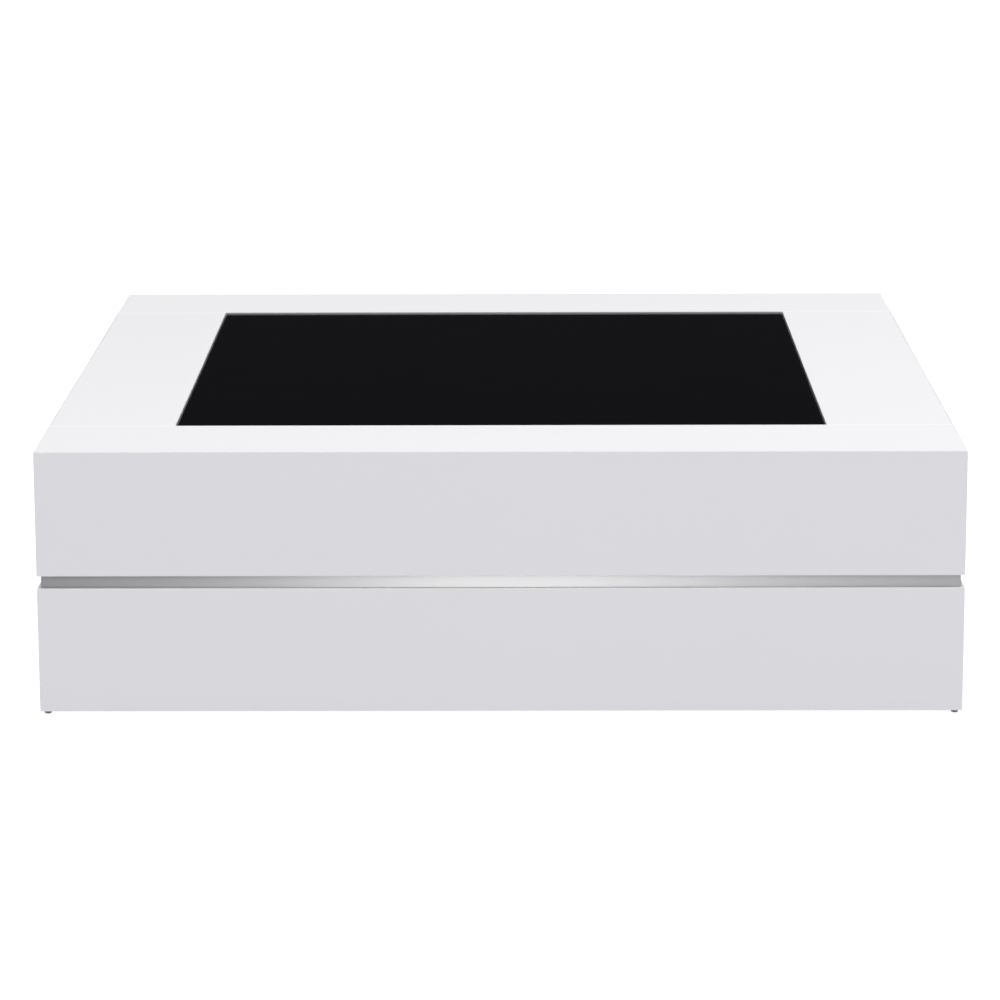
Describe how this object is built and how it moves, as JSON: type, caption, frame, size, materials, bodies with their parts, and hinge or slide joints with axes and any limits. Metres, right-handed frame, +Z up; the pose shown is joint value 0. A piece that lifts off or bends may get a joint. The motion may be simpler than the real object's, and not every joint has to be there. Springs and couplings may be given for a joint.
{
  "type": "lift top coffee table",
  "caption": "Low square coffee table of two white boxes with a metal-faced recess between them and a black glass lid that lifts forward on linkages over a storage well.",
  "frame": {"origin": "centre of the footprint, on the floor, under the table's middle", "axes": "+Z up, -Y towards the front, the way the lid comes forward, +X to the right seen from the front"},
  "size_m": [1.2, 1.2, 0.3495],
  "materials": {
    "white_lacquer": "white satin lacquer on fibreboard",
    "grey_melamine": "matte grey melamine-faced board",
    "raw_board": "raw particle board",
    "polished_band": "fine-brushed, nearly polished sheet",
    "black_glass": "polished, black back-painted float glass",
    "zinc_steel": "zinc-plated pressed steel",
    "spring_steel": "oiled dark spring wire",
    "grey_rubber": "matte dark grey rubber",
    "grey_plastic": "satin grey moulded plastic",
    "dark_plastic": "satin black moulded plastic"
  },
  "bodies": {
    "table": {"band_front_strip": "polished_band", "band_left_strip": "polished_band", "band_rear_strip": "polished_band", "band_right_strip": "polished_band", "front_left_buffer": "grey_rubber", "front_left_glide": "grey_rubber", "front_right_buffer": "grey_rubber", "front_right_glide": "grey_rubber", "left_base_bracket": "zinc_steel", "left_lower_rear_pin": "zinc_steel", "left_stop_pin": "zinc_steel", "left_torsion_spring": "spring_steel", "lower_deck": "raw_board", "lower_front_panel": "white_lacquer", "lower_left_panel": "white_lacquer", "lower_left_partition": "raw_board", "lower_rear_panel": "white_lacquer", "lower_right_panel": "white_lacquer", "lower_right_partition": "raw_board", "push_latch_body": "grey_plastic", "rear_left_buffer": "grey_rubber", "rear_left_glide": "grey_rubber", "rear_right_buffer": "grey_rubber", "rear_right_glide": "grey_rubber", "right_base_bracket": "zinc_steel", "right_lower_rear_pin": "zinc_steel", "right_stop_pin": "zinc_steel", "right_torsion_spring": "spring_steel", "spacer_front_rail": "raw_board", "spacer_left_rail": "raw_board", "spacer_rear_rail": "raw_board", "spacer_right_rail": "raw_board", "top_front_strip": "white_lacquer", "top_left_panel": "white_lacquer", "top_rear_strip": "white_lacquer", "top_right_panel": "white_lacquer", "upper_base_board": "grey_melamine", "upper_front_apron": "white_lacquer", "upper_left_apron": "white_lacquer", "upper_rear_apron": "white_lacquer", "upper_right_apron": "white_lacquer", "well_front_wall": "grey_melamine", "well_left_wall": "grey_melamine", "well_rear_wall": "grey_melamine", "well_right_wall": "grey_melamine"},
    "front_arms": {"left_front_link": "zinc_steel", "right_front_link": "zinc_steel", "cross_tube": "zinc_steel"},
    "left_rear_arm": {"left_rear_link": "zinc_steel"},
    "right_rear_arm": {"right_rear_link": "zinc_steel"},
    "lid": {"lid_glass": "black_glass", "lid_board": "grey_melamine", "left_lid_bracket": "zinc_steel", "right_lid_bracket": "zinc_steel", "latch_striker": "zinc_steel", "left_upper_front_pin": "zinc_steel", "right_upper_front_pin": "zinc_steel", "left_upper_rear_pin": "zinc_steel", "right_upper_rear_pin": "zinc_steel"},
    "latch_plunger": {"push_latch_plunger": "dark_plastic"}
  },
  "joints": [
    {"name": "lift_hinge", "type": "hinge", "parent": "table", "child": "front_arms", "pos_m": [0, -0.3, 0.2995], "axis": [1, 0, 0], "range_deg": [0, 125], "stiffness_Nm_per_rad": 18, "springref_deg": 90},
    {"name": "lid_level_hinge", "type": "hinge", "parent": "front_arms", "child": "lid", "pos_m": [0, -0.04, 0.2995], "axis": [1, 0, 0], "range_deg": [-125, 0]},
    {"name": "left_rear_hinge", "type": "hinge", "parent": "table", "child": "left_rear_arm", "pos_m": [0, -0.2, 0.2695], "axis": [1, 0, 0], "range_deg": [0, 125]},
    {"name": "right_rear_hinge", "type": "hinge", "parent": "table", "child": "right_rear_arm", "pos_m": [0, -0.2, 0.2695], "axis": [1, 0, 0], "range_deg": [0, 125]},
    {"name": "latch_slide", "type": "slide", "parent": "table", "child": "latch_plunger", "axis": [0, 0, 1], "range_m": [-0.003, 0], "stiffness_N_per_m": 300, "springref_m": 0.008}
  ],
  "couplings": [
    {"joint": "lid_level_hinge", "follows": "lift_hinge", "ratio": -1},
    {"joint": "left_rear_hinge", "follows": "lift_hinge", "ratio": 1},
    {"joint": "right_rear_hinge", "follows": "lift_hinge", "ratio": 1}
  ]
}
